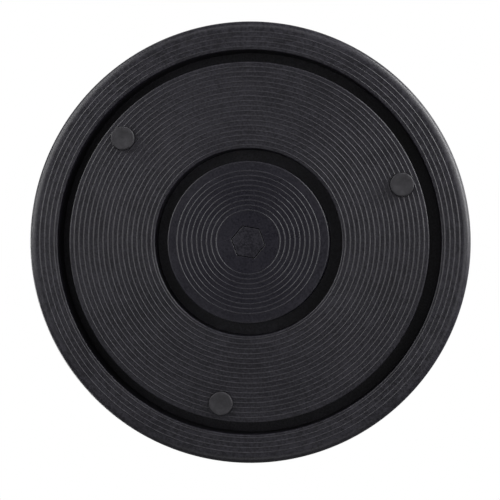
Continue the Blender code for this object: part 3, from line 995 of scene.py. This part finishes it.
def makeCamera():
    tilt = math.radians(viewing["tilt"])
    away = downward * math.cos(tilt) + rightward * math.sin(tilt)
    middle = Vector((0, 0, base["face"] * mm))
    aim = middle + rightward * viewing["aside"] * mm - upward * viewing["below"] * mm
    data = bpy.data.cameras.new("camera")
    data.sensor_width = viewing["sensor"]
    data.lens = viewing["sensor"] * viewing["distance"] / viewing["frameWidth"]
    data.clip_start, data.clip_end = viewing["clip"]
    camera = bpy.data.objects.new("camera", data)
    across = upward.cross(away)
    turn = Matrix((across, upward, away)).transposed().to_4x4()
    camera.matrix_world = Matrix.Translation(aim + away * viewing["distance"] * mm) @ turn
    bpy.context.scene.collection.objects.link(camera)
    bpy.context.scene.camera = camera


# Soft lights: "towards" turns from the right of the view, and "rise" is the angle above the table.
# The first eight are below it: two rake the rounded edge, two the ribs, and four reach into the grooves.
softboxes = {
    "edgeRight": {"towards": 30, "rise": -3, "distance": 1.0, "size": (1.1, 0.25), "watts": 11.8},
    "edgeLeft": {"towards": 154, "rise": -3, "distance": 1.0, "size": (1.1, 0.25), "watts": 4.3},
    "ribsRight": {"towards": 30, "rise": -25, "distance": 0.5, "size": (0.45, 0.17), "watts": 0.68},
    "ribsLeft": {"towards": 156, "rise": -27, "distance": 0.5, "size": (0.45, 0.17), "watts": 0.86},
    "grooveRight": {"towards": 5, "rise": -55, "distance": 1.2, "size": (0.8, 0.6), "watts": 2.3},
    "grooveLeft": {"towards": 175, "rise": -55, "distance": 1.2, "size": (0.8, 0.6), "watts": 1.1},
    "grooveTop": {"towards": 90, "rise": -40, "distance": 1.0, "size": (0.8, 0.4), "watts": 1.2},
    "grooveBottom": {"towards": 270, "rise": -40, "distance": 1.0, "size": (0.8, 0.4), "watts": 0.8},
    "keyAbove": {"towards": 200, "rise": 48, "distance": 1.4, "size": (0.9, 0.9), "watts": 9.0},
    "fillAbove": {"towards": 20, "rise": 30, "distance": 1.6, "size": (1.2, 0.8), "watts": 6.5},
    "overhead": {"towards": 90, "rise": 82, "distance": 1.6, "size": (1.6, 1.6), "watts": 11.0},
}


def makeLight(name, light):
    towards = math.radians(light["towards"])
    rise = math.radians(light["rise"])
    flat = rightward * math.cos(towards) + upward * math.sin(towards)
    place = flat * math.cos(rise) + Vector((0, 0, math.sin(rise)))
    data = bpy.data.lights.new(name, "AREA")
    data.shape = "RECTANGLE"
    data.size, data.size_y = light["size"]
    data.energy = light["watts"]
    lamp = bpy.data.objects.new(name, data)
    lamp.location = place * light["distance"]
    lamp.rotation_euler = place.to_track_quat("Z", "Y").to_euler()
    bpy.context.scene.collection.objects.link(lamp)


# Backdrop and floor: strengths, colours, and sizes in metres
surroundings = {
    "seen": 1.0,            # the backdrop's strength as the camera sees it
    "cast": 0.15,           # and as it lights the object
    "floor": (0.80, 0.80, 0.80),
    "floorShade": 0.985,
    "floorPatch": 300.0,    # millimetres
    "floorRadius": 1.6,
    "floorSides": 96,
    "fadeFrom": 0.30,
    "fadeTo": 1.3,
    "floorDrop": 0.0003,
}


def makeWorld():
    world = bpy.data.worlds.new("studio")
    world.use_nodes = True
    world.node_tree.nodes.clear()
    pen = Wire(world.node_tree)
    seen = pen.node("ShaderNodeLightPath", output="Is Camera Ray")
    strength = surroundings["cast"] + seen * (surroundings["seen"] - surroundings["cast"])
    colour = pen.node("ShaderNodeBackground", {}, {"Color": (1, 1, 1, 1), "Strength": strength})
    pen.node("ShaderNodeOutputWorld", {}, {"Surface": colour})
    bpy.context.scene.world = world


def makeFloor():
    # whole from above, open from below so that the underside shows, and faded out into the backdrop
    shape = bmesh.new()
    sides = surroundings["floorSides"]
    bmesh.ops.create_circle(shape, cap_ends=True, segments=sides, radius=surroundings["floorRadius"])
    mesh = bpy.data.meshes.new("floor")
    shape.to_mesh(mesh)
    shape.free()
    floor = bpy.data.objects.new("floor", mesh)
    floor.location.z = -surroundings["floorDrop"]
    bpy.context.scene.collection.objects.link(floor)
    material, pen, place = startMaterial("floorPaper")
    tone = noise(place, surroundings["floorPatch"], detail=3.0)
    pale = surroundings["floor"]
    shaded = tuple(value * surroundings["floorShade"] for value in pale)
    colour = blended(tone, shaded, pale)
    paper = pen.node("ShaderNodeBsdfDiffuse", {}, {"Color": colour})
    clear = pen.node("ShaderNodeBsdfTransparent")
    below = pen.node("ShaderNodeNewGeometry", output="Backfacing")
    out = place.node("ShaderNodeVectorMath", {"operation": "LENGTH"}, {0: place}, "Value")
    gone = pen.calc("MAXIMUM", below, ramped(out, surroundings["fadeFrom"], surroundings["fadeTo"]))
    finishMaterial(pen, pen.node("ShaderNodeMixShader", {}, {0: gone, 1: paper, 2: clear}))
    mesh.materials.append(material)
    # it lets the lights below through, and throws no light back
    floor.visible_shadow = False
    floor.visible_diffuse = False
    floor.visible_glossy = False


makeCamera()
for name, light in softboxes.items():
    makeLight(name, light)
makeWorld()
makeFloor()
bpy.context.scene.view_settings.view_transform = "Standard"
print("camera, lights and floor made")
